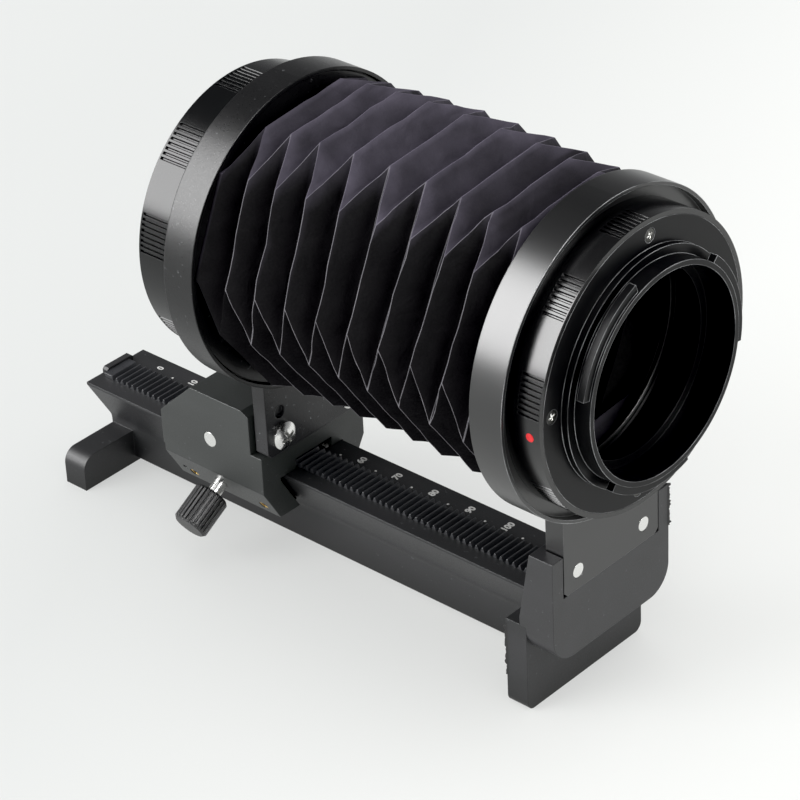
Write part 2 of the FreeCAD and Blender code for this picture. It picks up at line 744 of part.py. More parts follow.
for side, sign in (("left", "-"), ("right", "")):
    at = ("%splate_screw_span / 2" % sign, "plate_screw_height")
    head = rod("camera_head_" + side, "X", "bracket_front - 1.45", "bracket_front - 0.05", "small_head", at)
    shank = rod("camera_shank_" + side, "X", "plate_back - 1.9", "bracket_front - 1.45", "screw_radius", at)
    node(join("camera_plate_screw_solid_" + side, [head, shank]), "camera_plate_screw_" + side)
    head = domed_head("lens_head_" + side, "lens_plate_front", "large_head_thick", at)
    shank = rod("lens_shank_" + side, "X", "housing_near_x - 3", "lens_plate_front", "screw_radius", at)
    recess = cross("lens_cross_" + side, "lens_plate_front + large_head_thick - large_head_recess",
                   "lens_plate_front + large_head_thick + 1", at, "large_head_turn", "large_head_arm", "0.75")
    solid = join("lens_plate_screw_solid_" + side, [head, shank])
    node(cut("lens_plate_screw_cut_" + side, solid, recess), "lens_plate_screw_" + side)

# clamp screws that hold each grip ring in its standard by a groove
for tag, front in (("camera", "camera_ring_front"), ("lens", "lens_ring_front")):
    middle = front + " - ring_width / 2"
    node(radial_rod(tag + "_clamp", middle, "300", "ring_bore - running_gap - 0.35", "ring_radius - 0.3", "0.8"),
         tag + "_clamp_screw")

# ---------------------------------------------------------------- bellows and its two frames
turns_a = ["bellows_turn - ridge_arc / 2", "bellows_turn + ridge_arc / 2"]
turns_b = ["bellows_turn - 60 - ridge_arc / 2", "bellows_turn - 60 + ridge_arc / 2"]
ridge_a, ridge_b = [], []
for k in range(3):
    ridge_a += ["%s + %d" % (t, 120 * k) for t in turns_a]
    ridge_b += ["%s + %d" % (t, 120 * k) for t in turns_b]
ridge_b = ridge_b[1:] + ["%s + 360" % ridge_b[0]]


def hexagon(turns, radius):
    return [("(%s) * cos(%s)" % (radius, t), "(%s) * sin(%s)" % (radius, t)) for t in turns]


cloth_body = new_body("bellows_body")
folds = 2 * SIZES["bellows_pleats"]
for layer, radius, kind in (("outer", "bellows_radius", "Additive"), ("inner", "bellows_radius - cloth", "Subtractive")):
    sections = []
    for k in range(folds + 1):
        # every other section is turned, and the row of them bows up and fans out at the top
        turns = ridge_a if k % 2 else ridge_b
        section = draw(cloth_body, "%s_fold_%d" % (layer, k), "YZ_Plane", [hexagon(turns, radius)],
                       "lens_ring_front + %d * pleat / 2" % k)
        share = "%d / bellows_pleats" % k
        if 0 < k < folds:
            side = 1 if 2 * k > folds else -1
            section.AttachmentOffset = FreeCAD.Placement(V(0, 0, 0), FreeCAD.Rotation(V(side, 0, 0), 10))
            bind(section, AttachmentOffset__Base__y="bellows_rise * sin(90 * %s)" % share)
            bind(section, AttachmentOffset__Rotation__Angle="bellows_tilt * sin(180 * %s - %d)" % (share, 90 + 90 * side))
        sections.append(section)
    loft = cloth_body.newObject("PartDesign::%sLoft" % kind, layer + "_loft")
    loft.Profile = sections[0]
    loft.Sections = sections[1:]
    loft.Ruled = True
    doc.recompute()
cuff = [hexagon(ridge_b, "bellows_radius"), hexagon(ridge_b, "bellows_radius - cloth")]
for name, at in (("lens_cuff", "lens_ring_front - ring_recess + frame_thick"), ("camera_cuff", "camera_ring_back")):
    pad(cloth_body, name, draw(cloth_body, name + "_outline", "YZ_Plane", cuff, at), "ring_recess - frame_thick")
lift_to_axis(cloth_body)
node(cloth_body, "bellows")

for tag, at in (("lens", "lens_ring_front - ring_recess"), ("camera", "camera_ring_back + ring_recess - frame_thick")):
    node(turned(tag + "_frame_turning", [
        (at, "frame_bore"), (at, "frame_radius"), (at + " + frame_thick", "frame_radius"),
        (at + " + frame_thick", "frame_bore"),
    ]), tag + "_bellows_frame")

# ---------------------------------------------------------------- camera mount ring and bayonet


def grip_ring(tag, seat, end, inward, rib_low, rib_high, cavity):
    """A ribbed ring with a threadless boss that turns in its standard."""
    boss_end = "%s %s boss_length" % (seat, inward)
    groove = "%s %s ring_width / 4" % (seat, inward)
    flip = {"-": "+", "+": "-"}[inward]
    outward = flip
    outline = [
        (boss_end, "grip_bore"), (boss_end, "ring_bore - running_gap"),
        ("%s %s 0.75" % (groove, inward), "ring_bore - running_gap"),
        ("%s %s 0.75" % (groove, inward), "ring_bore - running_gap - 0.45"),
        ("%s %s 1.05" % (groove, outward), "ring_bore - running_gap - 0.45"),
        ("%s %s 1.05" % (groove, outward), "ring_bore - running_gap"),
        (seat, "ring_bore - running_gap"), (seat, "grip_radius"),
        (end, "grip_radius"), (end, "flange_radius"),
        ("%s %s flange_thick" % (end, inward), "flange_radius"),
    ]
    floor_at = "%s %s flange_thick" % (end, inward)
    if cavity:
        deep = "%s %s flange_thick %s throat_depth" % (end, inward, inward)
        outline += [(floor_at, "throat_radius + 0.75"), (deep, "throat_radius + 0.75"), (deep, "grip_bore")]
    else:
        outline += [(floor_at, "grip_bore")]
    body = turned(tag + "_grip", outline)
    valley = [
        ("-rib_groove_width / 2", "grip_radius + 0.3"), ("rib_groove_width / 2", "grip_radius + 0.3"),
        ("rib_groove_width / 2", "grip_radius"), ("rib_groove_width / 5", "grip_radius - rib_groove_depth"),
        ("-rib_groove_width / 5", "grip_radius - rib_groove_depth"), ("-rib_groove_width / 2", "grip_radius"),
    ]
    first = prism(body, tag + "_rib", valley, rib_low, rib_high, remove=True)
    pattern = body.newObject("PartDesign::MultiTransform", tag + "_ribs")
    pattern.Originals = [first]
    steps = []
    for name, count, angle in (("rib_group", "8", "rib_step * 7"), ("rib_trio", "3", "rib_group_step * 2"),
                               ("rib_round", "3", "240")):
        step = body.newObject("PartDesign::PolarPattern", tag + "_" + name)
        step.Axis = (origin_part(body, "X_Axis"), [""])
        step.setExpression("Angle", ref(angle))
        step.setExpression("Occurrences", ref(count))
        steps.append(step)
    pattern.Transformations = steps
    body.Tip = pattern
    spin(body, V(1, 0, 0), "rib_group_start - 90 - rib_step * 3.5")
    return lift_to_axis(body)


camera_seat = "camera_ring_front - ring_recess"
grip = grip_ring("camera", camera_seat, "camera_flange", "-", camera_seat + " + 2.9", "camera_flange - 0.2", False)
screw_turns = ["flange_screw_turn + %d" % (90 * k) for k in range(4)]
holes = [radial_rod("camera_dot_hole", "camera_flange - 2.3", "index_angle", "grip_radius - 0.6",
                    "grip_radius + 1", "index_radius")]
for k, turn in enumerate(screw_turns):
    holes.append(axial_rod("camera_flange_thread_%d" % k, turn, "flange_screw_circle",
                           "camera_flange - flange_screw_length - 0.3", "camera_flange", "0.8"))
node(cut("camera_grip_drilled", grip, holes), "camera_mount_ring")
node(radial_rod("camera_dot", "camera_flange - 2.3", "index_angle", "grip_radius - 0.6",
                "grip_radius + 0.05", "index_radius"), "camera_index_dot")

face = "camera_flange"
bayonet = turned("camera_bayonet_turning", [
    (face + " - flange_thick - baffle_thick", "baffle_radius"),
    (face + " - flange_thick - baffle_thick", "shoulder_radius"),
    (face + " - flange_thick", "shoulder_radius"), (face + " - flange_thick", "flange_radius - 0.05"),
    (face, "flange_radius - 0.05"), (face, "shoulder_radius"),
    (face + " + shoulder_height", "shoulder_radius"), (face + " + shoulder_height", "spigot_radius"),
    (face + " + spigot_length", "spigot_radius"), (face + " + spigot_length", "spigot_bore"),
    (face + " - flange_thick", "spigot_bore"), (face + " - flange_thick", "baffle_radius"),
])
lug_front = face + " + spigot_length - lug_set"
lugs = [
    sector("camera_lug_%d" % k, [
        (lug_front + " - lug_thick", "spigot_radius - 0.3"), (lug_front + " - lug_thick", "lug_radius"),
        (lug_front, "lug_radius"), (lug_front, "spigot_radius - 0.3"),
    ], "lug_arc", "lug_turn + %d" % (120 * k)) for k in range(3)
]
whole = join("camera_bayonet_whole", [bayonet] + lugs)
holes = []
for k, turn in enumerate(screw_turns):
    holes.append(axial_rod("camera_flange_hole_%d" % k, turn, "flange_screw_circle", face + " - 3", face + " + 1", "0.85"))
    holes.append(axial_rod("camera_flange_sink_%d" % k, turn, "flange_screw_circle", face + " - 0.8", face + " + 1",
                           "flange_screw_head + 0.1"))
node(cut("camera_bayonet_cut", whole, holes), "camera_bayonet")


def flange_screw(tag, k, turn, outer, inward):
    """A small countersunk screw standing into a grip ring from a flange face."""
    flip = {"-": 1, "+": -1}[inward]
    under = "%s %s 0.8" % (outer, inward)
    point = "%s %s flange_screw_length" % (outer, inward)
    ends = lambda a, b: (a, b) if flip == 1 else (b, a)
    low, high = ends(under, "%s %s 0.08" % (outer, inward))
    head = axial_rod("%s_screw_head_%d" % (tag, k), turn, "flange_screw_circle", low, high, "flange_screw_head")
    low, high = ends(point, under)
    shank = axial_rod("%s_screw_shank_%d" % (tag, k), turn, "flange_screw_circle", low, high, "0.8")
    solid = join("%s_screw_solid_%d" % (tag, k), [head, shank])
    low, high = ends("%s %s 0.45" % (outer, inward), "%s %s 0.02" % (outer, inward))
    at = ("flange_screw_circle * cos(%s)" % turn, "axis_height + flange_screw_circle * sin(%s)" % turn)
    drive = cross("%s_screw_cross_%d" % (tag, k), low, high, at, "%s + 20" % turn, "0.85", "0.4")
    return cut("%s_screw_%d" % (tag, k), solid, drive)


for k, turn in enumerate(screw_turns):
    node(flange_screw("camera", k, turn, "camera_flange", "-"), "camera_bayonet_screw_%d" % (k + 1))

# ---------------------------------------------------------------- lens mount ring and bayonet
lens_seat = "lens_ring_back + ring_recess"
grip = grip_ring("lens", lens_seat, "lens_flange", "+", "lens_flange + 0.4", "lens_ring_back - 0.6", True)
plate_rear = "lens_flange + flange_thick"
holes = [
    radial_box("release_slot", (plate_rear + " - 0.01", plate_rear + " + release_thick + release_travel + 0.1"),
               "release_turn", "throat_radius - 0.5", "grip_radius + 2", "release_width"),
    axial_rod("spring_pocket", "release_turn", "flange_screw_circle + 0.6",
              plate_rear + " + release_thick", plate_rear + " + release_thick + release_travel + 2.6",
              "spring_radius + 0.1"),
]
for k, turn in enumerate(screw_turns):
    holes.append(axial_rod("lens_flange_thread_%d" % k, turn, "flange_screw_circle", "lens_flange",
                           "lens_flange + flange_screw_length + 0.3", "0.8"))
node(cut("lens_grip_drilled", grip, holes), "lens_mount_ring")

plate = turned("lens_bayonet_turning", [
    ("lens_flange", "throat_radius"), ("lens_flange", "flange_radius - 0.05"),
    (plate_rear, "flange_radius - 0.05"), (plate_rear, "throat_radius"),
])
tabs = [
    sector("lens_tab_%d" % k, [
        ("lens_flange", "tab_radius"), ("lens_flange", "throat_radius + 0.3"),
        ("lens_flange + tab_thick", "throat_radius + 0.3"), ("lens_flange + tab_thick", "tab_radius"),
    ], "lug_arc", "lug_turn + 60 + %d" % (120 * k)) for k in range(3)
]
whole = join("lens_bayonet_whole", [plate] + tabs)
holes = [
    axial_rod("lock_pin_hole", "release_turn", "flange_screw_circle", "lens_flange - 1", plate_rear + " + 1",
              "lock_pin + running_gap"),
    axial_rod("lens_dot_hole", "104", "flange_screw_circle", "lens_flange - 1", "lens_flange + 0.6", "index_radius"),
]
for k, turn in enumerate(screw_turns):
    holes.append(axial_rod("lens_flange_hole_%d" % k, turn, "flange_screw_circle", "lens_flange - 1", "lens_flange + 3", "0.85"))
    holes.append(axial_rod("lens_flange_sink_%d" % k, turn, "flange_screw_circle", "lens_flange - 1",
                           "lens_flange + 0.8", "flange_screw_head + 0.1"))
node(cut("lens_bayonet_cut", whole, holes), "lens_bayonet")
for k, turn in enumerate(screw_turns):
    node(flange_screw("lens", k, turn, "lens_flange", "+"), "lens_bayonet_screw_%d" % (k + 1))
node(axial_rod("lens_dot", "104", "flange_screw_circle", "lens_flange - 0.05", "lens_flange + 0.6", "index_radius"),
     "lens_index_dot")
for k in range(3):
    node(sector("lens_leaf_%d" % k, [
        (plate_rear + " + 0.4", "tab_radius + 0.2"), (plate_rear + " + 0.4", "throat_radius + 0.7"),
        (plate_rear + " + 0.4 + leaf_thick", "throat_radius + 0.7"),
        (plate_rear + " + 0.4 + leaf_thick", "tab_radius + 0.2"),
    ], "lug_arc - 18", "lug_turn + 60 + %d" % (120 * k)), "lens_leaf_spring_%d" % (k + 1))
cavity_floor = plate_rear + " + throat_depth"
node(turned("lens_baffle_turning", [
    (cavity_floor + " - baffle_thick", "baffle_radius + 1.6"), (cavity_floor + " - baffle_thick", "throat_radius + 0.65"),
    (cavity_floor, "throat_radius + 0.65"), (cavity_floor, "baffle_radius + 1.6"),
]), "lens_baffle")

# release: a slider in the wall of the ring, its lock pin and its spring
slider = radial_box("release_block", (plate_rear + " + 0.05", plate_rear + " + release_thick"), "release_turn",
                    "throat_radius + 0.95", "grip_radius + release_reach", "release_width - 0.2")
pin = axial_rod("release_pin", "release_turn", "flange_screw_circle", "lens_flange - lock_pin_reach",
                plate_rear + " + 0.5", "lock_pin")
node(join("release_solid", [slider, pin]), "release_slider")
coil = doc.addObject("Part::Helix", "release_coil")
bind(coil, Radius="spring_radius - 0.15", Height="release_travel + 2.4", Pitch="0.75")
wire = doc.addObject("Part::Circle", "release_wire")
wire.Placement = FreeCAD.Placement(V(0, 0, 0), FreeCAD.Rotation(V(1, 0, 0), 90))
bind(wire, Radius="0.13", Placement__Base__x="spring_radius - 0.15")
spring = doc.addObject("Part::Sweep", "release_spring_sweep")
spring.Sections = [wire]
spring.Spine = (coil, ["Edge1"])
spring.Solid = True
spring.Frenet = True
spring.Placement = FreeCAD.Placement(V(0, 0, 0), FreeCAD.Rotation(V(0, 1, 0), 90))
bind(spring, Placement__Base__x=plate_rear + " + release_thick + 0.1")
node(on_axis_circle(spring, "flange_screw_circle + 0.6", "release_turn"), "release_spring")

# ---------------------------------------------------------------- carriage
frame = new_body("carriage_body")
claw = [
    ("-claw_half", "rail_top + 2"), ("-claw_half", "claw_side"), ("-claw_foot_half", "claw_foot"),
    ("claw_foot_half", "claw_foot"), ("claw_half", "claw_side"), ("claw_half", "rail_top + 2"),
]
prism(frame, "claws", claw, "housing_far_x + 0.4", "housing_near_x")
slab(frame, "housing", [
    ("housing_far_x", "claw_side + 1.75"), ("housing_near_x", "claw_side + 1.75"),
    ("housing_near_x", "housing_top - 1"), ("housing_near_x - 1.9", "housing_top"),
    ("housing_far_x + housing_slant_run", "housing_top"),
    ("housing_far_x", "housing_top - housing_slant_height"),
], "housing_width")
front_block = [
    ("-claw_half", "plate_seat"), ("-claw_half", "claw_side"), ("-claw_foot_half", "claw_foot"),
    ("claw_foot_half", "claw_foot"), ("claw_half", "claw_side"), ("claw_half", "plate_seat - claw_shoulder"),
    ("claw_half - claw_shoulder_run", "plate_seat"),
]
prism(frame, "front_block", front_block, "housing_near_x - 0.2", "claw_near_x")
prism(frame, "front_wall", rectangle("-wall_width / 2", "wall_width / 2", "plate_seat - 1", "wall_top"),
      "housing_near_x - 0.2", "lens_plate_back")
for side, sign in (("left", "-"), ("right", "")):
    middle = "%splate_screw_span / 2" % sign
    prism(frame, "screw_post_" + side,
          rectangle(middle + " - 2", middle + " + 2", "plate_screw_height - 2", "plate_screw_height + 2"),
          "housing_near_x - 0.2", "lens_plate_back")
channel = [
    ("rail_half + slide_slack", "rail_top + slide_gap / 2"), ("rail_half + slide_slack", "flank_top"),
    ("web_half + slide_slack + 0.4", "flank_foot + 0.4 * tan(dovetail_angle)"),
    ("web_half + slide_slack + 0.4", "claw_foot - 1"), ("-web_half - gib_slack - 0.4", "claw_foot - 1"),
    ("-web_half - gib_slack - 0.4", "flank_foot + 0.4 * tan(dovetail_angle)"),
    ("-rail_half - gib_slack", "flank_top"), ("-rail_half - gib_slack", "rail_top + slide_gap / 2"),
    ("-rack_relief_width / 2", "rail_top + slide_gap / 2"), ("-rack_relief_width / 2", "rail_top + rack_relief"),
    ("rack_relief_width / 2", "rail_top + rack_relief"), ("rack_relief_width / 2", "rail_top + slide_gap / 2"),
]
prism(frame, "channel", channel, "housing_far_x - 5", "lens_plate_front + 5", remove=True)
shaft_at = ("pinion_x", "pinion_height")
grub_xs = {"far": "pinion_x - grub_shift - grub_span / 2", "near": "pinion_x - grub_shift + grub_span / 2"}
holes = [
    rod("pinion_tunnel", "Y", "-rack_offset - pinion_width / 2 - 1.2", "-rack_offset + pinion_width / 2 + 1.2",
        "pinion_tip + 0.6", shaft_at),
    box("pinion_way", ("pinion_x - pinion_tip - 0.6", "pinion_x + pinion_tip + 0.6"),
        ("-rack_offset - pinion_width / 2 - 1.2", "-rack_offset + pinion_width / 2 + 1.2"),
        ("rail_top", "pinion_height")),
    rod("shaft_bore", "Y", "-claw_half - 1", "claw_half + 1", "shaft_radius + running_gap", shaft_at),
    slope_rod("lock_bore", "pinion_x", "-claw_wall - 0.2", "5", "lock_shank + running_gap"),
]
for end, x in grub_xs.items():
    holes.append(slope_rod("grub_bore_" + end, x, "-gib_face + 0.1", "5", "grub_radius", "grub_y", "grub_height"))
holes.append(slope_rod("oil_hole", grub_xs["far"] + " - 2.2", "-1.2", "5", "0.6", "grub_y", "grub_height + 1.2"))
for side, sign in (("left", "-"), ("right", "")):
    at = ("%splate_screw_span / 2" % sign, "plate_screw_height")
    holes.append(rod("lens_plate_thread_" + side, "X", "housing_near_x - 3.2", "lens_plate_front", "screw_radius", at))
node(cut("carriage_drilled", frame, holes), "carriage")

gib = doc.addObject("Part::Box", "gib_block")
bind(gib, Length="gib_length", Width="gib_width", Height="gib_thick")
slope_place(gib, "pinion_x - grub_shift - gib_length / 2", "-gib_face - gib_thick", "lock_y", "lock_height")
bind(gib, Placement__Base__y="-lock_y + (gib_face + gib_thick) * sin(dovetail_angle) + gib_low * cos(dovetail_angle)")
bind(gib, Placement__Base__z="lock_height + (gib_face + gib_thick) * cos(dovetail_angle) - gib_low * sin(dovetail_angle)")
node(gib, "gib_strip")
for end, x in grub_xs.items():
    screw = slope_rod("grub_" + end, x, "-gib_face", "-grub_set", "grub_radius", "grub_y", "grub_height")
    socket = slope_rod("grub_socket_" + end, x, "-grub_set - 0.9", "1", "0.6", "grub_y", "grub_height")
    node(cut("grub_cut_" + end, screw, [socket]), "gib_screw_" + end)

# ---------------------------------------------------------------- focus drive
wheel = new_body("pinion_body")
bore = "shaft_radius"
revolve(wheel, "pinion_core", draw(wheel, "pinion_core_outline", "XZ_Plane", [[
    (bore, "-pinion_width / 2"), ("pinion_root", "-pinion_width / 2"),
    ("pinion_root", "pinion_width / 2"), (bore, "pinion_width / 2"),
]]), "V_Axis")
tooth_outline = [
    ("-rack_pitch / 4 - 0.1", "pinion_root - 0.3"), ("rack_pitch / 4 + 0.1", "pinion_root - 0.3"),
    ("rack_pitch / 4 + 0.04", "pinion_root + 0.1"), ("rack_pitch / 4 - 0.09", "pinion_pitch"),
    ("0.14", "pinion_tip"), ("-0.14", "pinion_tip"), ("-rack_pitch / 4 + 0.09", "pinion_pitch"),
    ("-rack_pitch / 4 - 0.04", "pinion_root + 0.1"),
]
tooth = pad(wheel, "pinion_tooth", draw(wheel, "pinion_tooth_outline", "XY_Plane", [tooth_outline]),
            "pinion_width", both_ways=True)
polar(wheel, "pinion_teeth_row", tooth, "pinion_teeth", "Z_Axis")
# stood along y with a tooth pointing straight down when it is over the middle of a gap
aligned = doc.addObject("Part::Compound", "pinion_aligned")
wheel.Placement = FreeCAD.Placement(V(0, 0, 0), FreeCAD.Rotation(V(1, 0, 0), -90))
aligned.Links = [wheel]
spin(aligned, V(0, 1, 0), "(pinion_x - rack_far - rack_lead) / pinion_pitch * 180 / pi")
bind(aligned, Placement__Base__x="pinion_x", Placement__Base__y="-rack_offset", Placement__Base__z="pinion_height")
node(aligned, "pinion")

knob_start = "claw_half + knob_gap"
node(rod("shaft", "Y", "-claw_half", knob_start + " + knob_width - 1.5", "shaft_radius", shaft_at), "focus_shaft")
knob = fluted_knob("focus_knob_body", [
    ("shaft_radius", "0"), ("knob_radius - 1.2", "0"), ("knob_radius", "1.2"),
    ("knob_radius", "knob_width - 0.7"), ("knob_radius - 0.7", "knob_width"),
    ("knob_radius - 2.4", "knob_width"), ("knob_radius - 2.8", "knob_width - 0.6"),
    ("0", "knob_width - 0.6"), ("0", "knob_width - 1.5"), ("shaft_radius", "knob_width - 1.5"),
], "knob_flutes", "knob_flute_depth", "knob_flute_width", "knob_radius", "knob_width + 2")
knob.Placement = FreeCAD.Placement(V(0, 0, 0), FreeCAD.Rotation(V(1, 0, 0), -90))
bind(knob, Placement__Base__x="pinion_x", Placement__Base__y=knob_start, Placement__Base__z="pinion_height")
grub_at = ("pinion_x", knob_start + " + 3.2")
grub_hole = rod("knob_grub_hole", "Z", "pinion_height + shaft_radius", "pinion_height + knob_radius + 1", "1", grub_at)
node(cut("focus_knob_cut", knob, [grub_hole]), "focus_knob")
node(rod("knob_grub", "Z", "pinion_height + shaft_radius", "pinion_height + knob_radius - 1", "1", grub_at),
     "focus_grub_screw")
washer = rod("washer_disc", "Y", "claw_half", "claw_half + knob_gap", "4.2", shaft_at)
washer_bore = rod("washer_bore", "Y", "claw_half - 1", "claw_half + knob_gap + 1", "shaft_radius + running_gap", shaft_at)
node(cut("washer_cut", washer, [washer_bore]), "focus_washer")

# ---------------------------------------------------------------- lock screw
node(slope_rod("lock_rod", "pinion_x", "-gib_face + 0.15", "lock_neck + lock_knob_width - 1.5", "lock_shank"),
     "lock_screw")
lock = fluted_knob("lock_knob_body", [
    ("lock_shank", "0"), ("lock_knob_radius - 0.5", "0"), ("lock_knob_radius", "0.5"),
    ("lock_knob_radius", "lock_knob_width - 0.6"), ("lock_knob_radius - 0.6", "lock_knob_width"),
    ("0", "lock_knob_width"), ("0", "lock_knob_width - 1.5"), ("lock_shank", "lock_knob_width - 1.5"),
], "lock_flutes", "lock_flute_depth", "lock_flute_width", "lock_knob_radius", "lock_knob_width + 2")
slope_place(lock, "pinion_x", "lock_neck", "lock_y", "lock_height")
node(lock, "lock_knob")

# ---------------------------------------------------------------- checks and sub-parts
doc.recompute()
bad = [o.Name for o in doc.Objects if "Invalid" in o.State or "Error" in o.State]
if bad:
    raise RuntimeError("objects in error: " + ", ".join(bad))
os.makedirs("parts", exist_ok=True)
for name, thing in NODES:
    shape = thing.Shape
    if shape.isNull() or not shape.isValid():
        raise RuntimeError("bad shape: " + name)
    shape.exportStep("parts/" + name + ".step")
    b = shape.BoundBox
    print("%-26s solids %d  x %8.2f %8.2f  y %7.2f %7.2f  z %6.2f %6.2f  vol %9.2f" % (
        name, len(shape.Solids), b.XMin, b.XMax, b.YMin, b.YMax, b.ZMin, b.ZMax, shape.Volume))
print(len(NODES), "nodes")
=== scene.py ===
import math

import bmesh
import bpy
from mathutils import Matrix, Vector, noise


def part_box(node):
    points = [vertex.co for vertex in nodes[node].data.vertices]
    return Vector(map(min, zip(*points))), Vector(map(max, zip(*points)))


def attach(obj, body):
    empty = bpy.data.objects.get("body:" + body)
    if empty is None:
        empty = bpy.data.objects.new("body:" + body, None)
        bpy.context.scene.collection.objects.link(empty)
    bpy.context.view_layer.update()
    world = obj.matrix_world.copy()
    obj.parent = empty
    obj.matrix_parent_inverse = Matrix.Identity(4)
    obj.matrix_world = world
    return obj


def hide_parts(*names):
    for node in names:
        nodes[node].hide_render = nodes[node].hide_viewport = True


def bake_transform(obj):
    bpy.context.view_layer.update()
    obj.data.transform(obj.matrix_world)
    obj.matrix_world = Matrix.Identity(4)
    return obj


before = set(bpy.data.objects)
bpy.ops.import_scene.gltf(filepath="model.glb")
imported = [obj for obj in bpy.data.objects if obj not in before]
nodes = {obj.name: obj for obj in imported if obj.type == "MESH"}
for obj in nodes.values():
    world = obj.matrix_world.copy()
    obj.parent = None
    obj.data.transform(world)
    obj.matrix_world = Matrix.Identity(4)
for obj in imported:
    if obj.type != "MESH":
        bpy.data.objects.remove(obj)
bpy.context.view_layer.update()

# A macro bellows unit. Lengths below are in millimetres and turned to metres where a mesh is
# made. +X runs along the rail towards the camera, -Y is the side of the lock screw, z = 0 is
# the floor.
MM = 0.001
AXIS = 77.3
CAMERA_RING_BACK = 4.0
LENS_RING_FRONT = -67.1
RAIL_TOP = 21.4
PLEATS = 9
CUFF = 0.7  # how far the bellows reaches into each frame
SKIN_REACH = 32.3  # the corners of the bellows, from the axis
CORNERS = [16, 55, 136, 175, 256, 295]  # where they stand, in degrees
CORNER_TURN = 21  # degrees that a half pleat turns them
BOW = 2.4  # how far the row of folds bows up
FAN = 3.6  # degrees that it fans out at the top
SKIN_WALL = 0.2
CRUMPLE_SEED = 1795496042  # picks the crumple of the cloth, the same one each run
COIL_SEAT = -76.5  # the x of the standing end of the release coil
SCALE_ZERO = -121.65  # the x of the numeral 0
SCALE_STEP = 10


# ---------------------------------------------------------------- materials
def hexed(code):
    """An sRGB hex colour as linear values with alpha."""
    out = []
    for k in (0, 2, 4):
        c = int(code[k:k + 2], 16) / 255
        out.append(c / 12.92 if c <= 0.04045 else ((c + 0.055) / 1.055) ** 2.4)
    return (*out, 1.0)


def add(tree, kind, settings=None, links=None, **fields):
    """Add one node, with its fields, its socket values and its incoming links."""
    made = tree.nodes.new(kind)
    for name, value in fields.items():
        setattr(made, name, value)
    for name, value in (settings or {}).items():
        made.inputs[name].default_value = value
    for name, source in (links or {}).items():
        tree.links.new(source, made.inputs[name])
    return made


def begin(name, code, roughness, **sockets):
    """A material with its shader; the sockets that stay the same all over are set here."""
    material = bpy.data.materials.new(name)
    material.use_nodes = True
    tree = material.node_tree
    shader = tree.nodes["Principled BSDF"]
    shader.inputs["Base Color"].default_value = hexed(code)
    shader.inputs["Roughness"].default_value = roughness
    for label, value in sockets.items():
        shader.inputs[label.replace("_", " ")].default_value = value
    where = add(tree, "ShaderNodeTexCoord").outputs["Object"]
    return material, tree, shader, where


def mottle(tree, where, size_mm, dark, light, detail=3.0, stretch=(1, 1, 1)):
    """Slow variation between two colours over patches of a real size."""
    spread = add(tree, "ShaderNodeMapping", {"Scale": stretch}, {"Vector": where})
    cloud = add(tree, "ShaderNodeTexNoise", {"Scale": 1000 / size_mm, "Detail": detail},
                {"Vector": spread.outputs[0]})
    ramp = add(tree, "ShaderNodeValToRGB", None, {"Fac": cloud.outputs["Fac"]})
    first, last = ramp.color_ramp.elements
    first.color, last.color = hexed(dark), hexed(light)
    first.position, last.position = 0.3, 0.7
    return ramp


def vary(tree, shader, source, low, high, socket="Roughness"):
    """Let a shader socket vary between two values with a pattern."""
    spread = add(tree, "ShaderNodeMapRange",
                 {"From Min": 0.3, "From Max": 0.7, "To Min": low, "To Max": high}, {"Value": source})
    tree.links.new(spread.outputs[0], shader.inputs[socket])


def rounded(tree, radius_mm):
    """Softened edges, as a mould or a tumbling drum leaves them."""
    return add(tree, "ShaderNodeBevel", {"Radius": radius_mm * MM}, samples=6).outputs[0]


def edge_wear_and_highlight(tree, where, radius_mm, open_mm):
    """The share of light edge colour, partly dye wear and partly a painted highlight along the rims: on
    sharp edges, in patches, and only at the open end.
    """
    flat = add(tree, "ShaderNodeNewGeometry").outputs["Normal"]
    same = add(tree, "ShaderNodeVectorMath", None, {0: rounded(tree, radius_mm), 1: flat},
               operation="DOT_PRODUCT")
    sharp = add(tree, "ShaderNodeMapRange", {"From Min": 0.97, "From Max": 0.84},
                {"Value": same.outputs["Value"]})
    patches = add(tree, "ShaderNodeTexNoise", {"Scale": 1000 / 9, "Detail": 3.0}, {"Vector": where})
    kept = add(tree, "ShaderNodeMapRange", {"From Min": 0.38, "From Max": 0.62, "To Min": 0.15},
               {"Value": patches.outputs["Fac"]})
    along = add(tree, "ShaderNodeSeparateXYZ", None, {"Vector": where})
    open_end = add(tree, "ShaderNodeMapRange",
                   {"From Min": (open_mm - 0.5) * MM, "From Max": open_mm * MM},
                   {"Value": along.outputs["X"]})
    share = add(tree, "ShaderNodeMath", None, {0: sharp.outputs[0], 1: kept.outputs[0]},
                operation="MULTIPLY")
    return add(tree, "ShaderNodeMath", None, {0: share.outputs[0], 1: open_end.outputs[0]},
               operation="MULTIPLY").outputs[0]


def relief(tree, shader, height, depth_mm, radius_mm):
    bump = add(tree, "ShaderNodeBump", {"Strength": 1.0, "Distance": depth_mm * MM},
               {"Height": height, "Normal": rounded(tree, radius_mm)})
    tree.links.new(bump.outputs[0], shader.inputs["Normal"])


